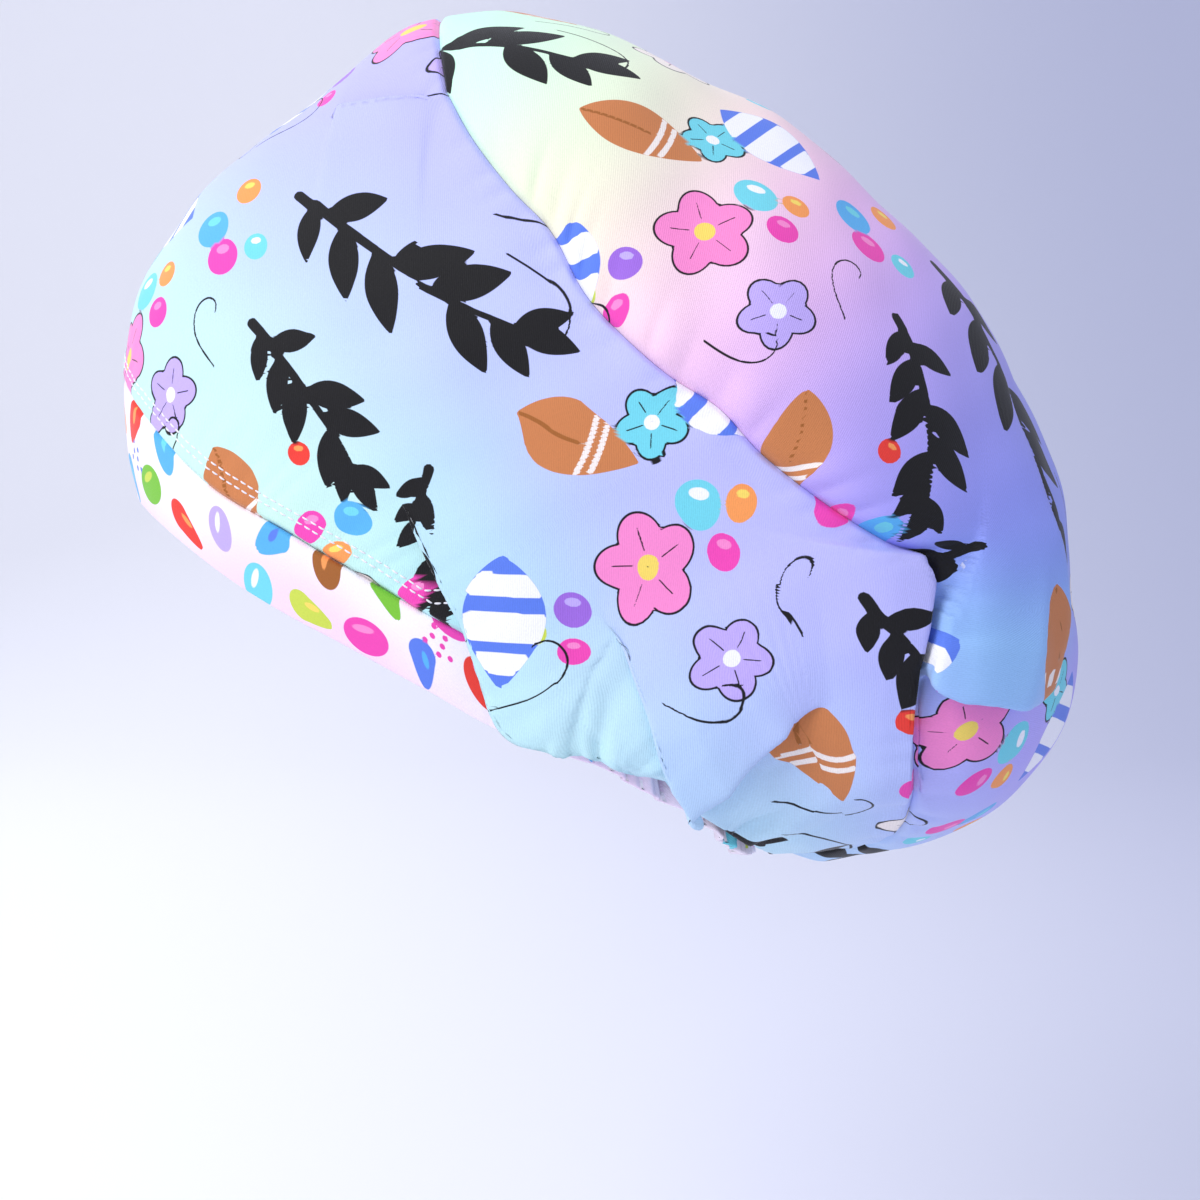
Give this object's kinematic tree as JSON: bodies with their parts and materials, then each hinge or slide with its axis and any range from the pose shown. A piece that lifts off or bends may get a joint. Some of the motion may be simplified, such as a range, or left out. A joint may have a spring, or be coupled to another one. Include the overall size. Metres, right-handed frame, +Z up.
{
  "type": "scrub cap",
  "caption": "Bouffant scrub cap of printed cotton with a domed crown, a gathered bag at the back, a contrast brow band and an elastic nape.",
  "frame": {"origin": "centre of the head opening, halfway between the rim at the brow and the rim at the nape", "axes": "the wearer faces -X, the wearer's left side is towards -Y and +Z is up"},
  "size_m": [0.2868, 0.1952, 0.2527],
  "materials": {
    "print_cotton": "smooth cotton sateen with a pastel wash and a tossed floral print",
    "contrast_cotton": "white cotton with a bright confetti print"
  },
  "bodies": {
    "root": {"crown": "print_cotton", "side_band": "print_cotton", "brow_band": "contrast_cotton", "nape_band": "contrast_cotton"}
  },
  "joints": []
}
